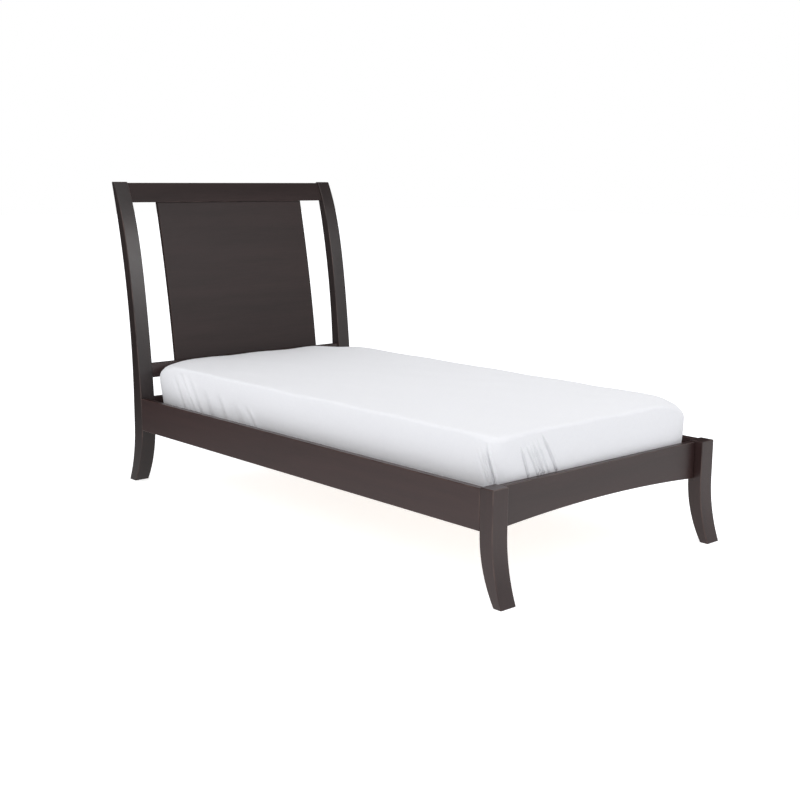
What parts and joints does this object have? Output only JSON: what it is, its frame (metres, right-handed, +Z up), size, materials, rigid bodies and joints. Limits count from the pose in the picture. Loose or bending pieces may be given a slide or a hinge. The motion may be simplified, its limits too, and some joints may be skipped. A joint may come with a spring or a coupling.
{
  "type": "sleigh bed",
  "caption": "Low twin sleigh bed in dark wood: swept-back panel headboard with open side slots, curved feet, arched foot rail, slat deck, mattress and fitted sheet.",
  "frame": {"origin": "on the floor, under the centre of the bed's bounding box", "axes": "+Z up, +Y towards the headboard, +X to the right as seen from the foot of the bed"},
  "size_m": [1.105, 2.1926, 1.216],
  "materials": {
    "espresso_wood": "satin",
    "slat_pine": "matte",
    "zinc_steel": "satin",
    "webbing": "matte",
    "ticking": "matte",
    "sheet_cotton": "matte"
  },
  "bodies": {
    "frame": {"headboard_panel": "espresso_wood", "headboard_top_rail": "espresso_wood", "headboard_middle_rail": "espresso_wood", "headboard_bottom_rail": "espresso_wood", "headboard_post_left": "espresso_wood", "headboard_post_right": "espresso_wood", "foot_leg_left": "espresso_wood", "foot_leg_right": "espresso_wood", "side_rail_left": "espresso_wood", "side_rail_right": "espresso_wood", "foot_rail": "espresso_wood", "slat_ledger_left": "espresso_wood", "slat_ledger_right": "espresso_wood", "corner_bracket_foot_left": "zinc_steel", "corner_bracket_head_left": "zinc_steel", "corner_bracket_foot_right": "zinc_steel", "corner_bracket_head_right": "zinc_steel", "bracket_bolt_foot_left_upper": "zinc_steel", "bracket_bolt_foot_left_lower": "zinc_steel", "bracket_bolt_head_left_upper": "zinc_steel", "bracket_bolt_head_left_lower": "zinc_steel", "bracket_bolt_foot_right_upper": "zinc_steel", "bracket_bolt_foot_right_lower": "zinc_steel", "bracket_bolt_head_right_upper": "zinc_steel", "bracket_bolt_head_right_lower": "zinc_steel", "bracket_screw_foot_left_upper": "zinc_steel", "bracket_screw_foot_left_lower": "zinc_steel", "bracket_screw_head_left_upper": "zinc_steel", "bracket_screw_head_left_lower": "zinc_steel", "bracket_screw_foot_right_upper": "zinc_steel", "bracket_screw_foot_right_lower": "zinc_steel", "bracket_screw_head_right_upper": "zinc_steel", "bracket_screw_head_right_lower": "zinc_steel"},
    "slat_deck": {"slat_01": "slat_pine", "slat_02": "slat_pine", "slat_03": "slat_pine", "slat_04": "slat_pine", "slat_05": "slat_pine", "slat_06": "slat_pine", "slat_07": "slat_pine", "slat_08": "slat_pine", "slat_09": "slat_pine", "slat_10": "slat_pine", "slat_11": "slat_pine", "slat_12": "slat_pine", "slat_13": "slat_pine", "slat_14": "slat_pine", "slat_strap_left": "webbing", "slat_strap_right": "webbing"},
    "mattress": {"mattress": "ticking", "fitted_sheet": "sheet_cotton"}
  },
  "joints": [
    {"name": "slat_deck_lift", "type": "slide", "parent": "frame", "child": "slat_deck", "axis": [0, 0, 1], "range_m": [0, 0.3]},
    {"name": "mattress_lift", "type": "slide", "parent": "slat_deck", "child": "mattress", "axis": [0, 0, 1], "range_m": [0, 0.3]}
  ]
}
